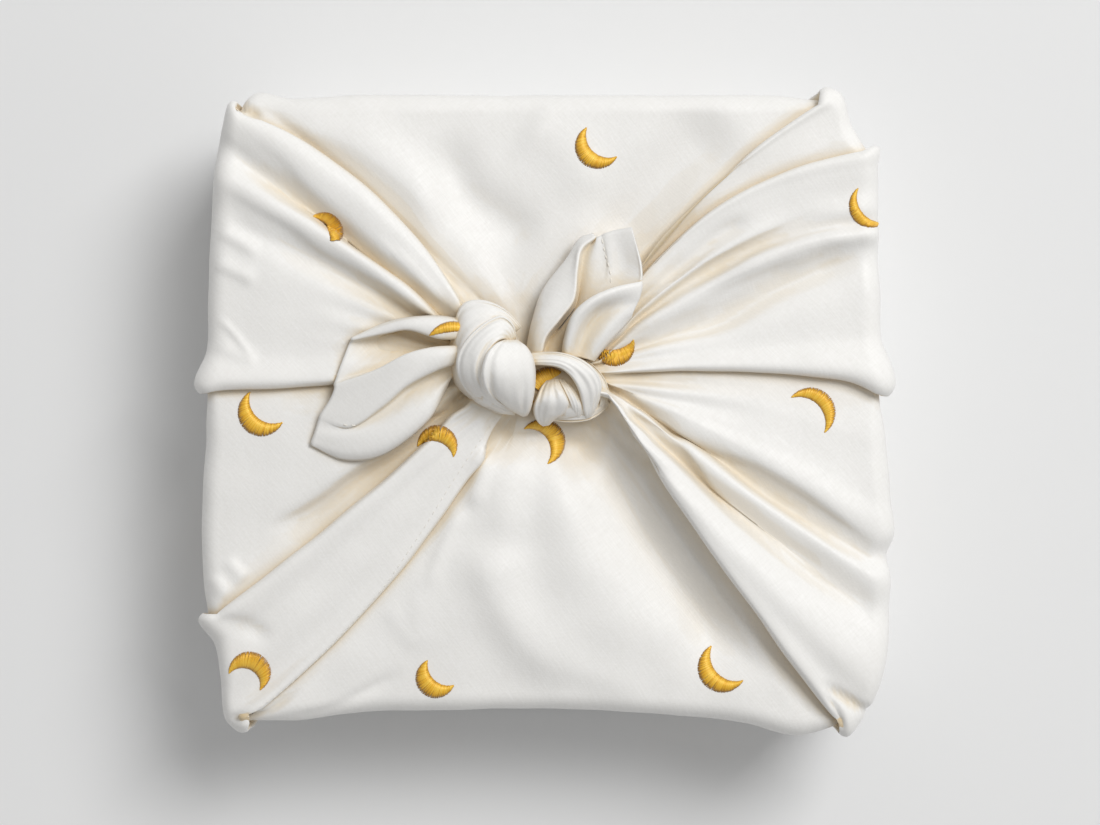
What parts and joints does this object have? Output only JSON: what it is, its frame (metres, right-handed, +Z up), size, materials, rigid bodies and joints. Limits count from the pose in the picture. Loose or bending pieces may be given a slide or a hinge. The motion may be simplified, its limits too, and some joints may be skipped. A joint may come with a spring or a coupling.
{
  "type": "knotted wrapping cloth round a shallow gift box",
  "caption": "Square cotton cloth wrapped round a shallow box, its two ends gathered in fans of folds and tied in a square knot with two short tails; scattered moon embroidery.",
  "frame": {"origin": "middle of the flat underside, on the surface that the parcel rests on", "axes": "+Z up out of the knot, +X to the right and +Y away in the plan view with the larger turn of the knot at the left"},
  "size_m": [0.2304, 0.2144, 0.0916],
  "materials": {
    "cloth": "ivory cotton sateen, fine weave with a soft sheen",
    "gold_thread": "golden satin-stitch embroidery thread"
  },
  "bodies": {
    "root": {"wrap_cloth": "cloth"}
  },
  "joints": []
}
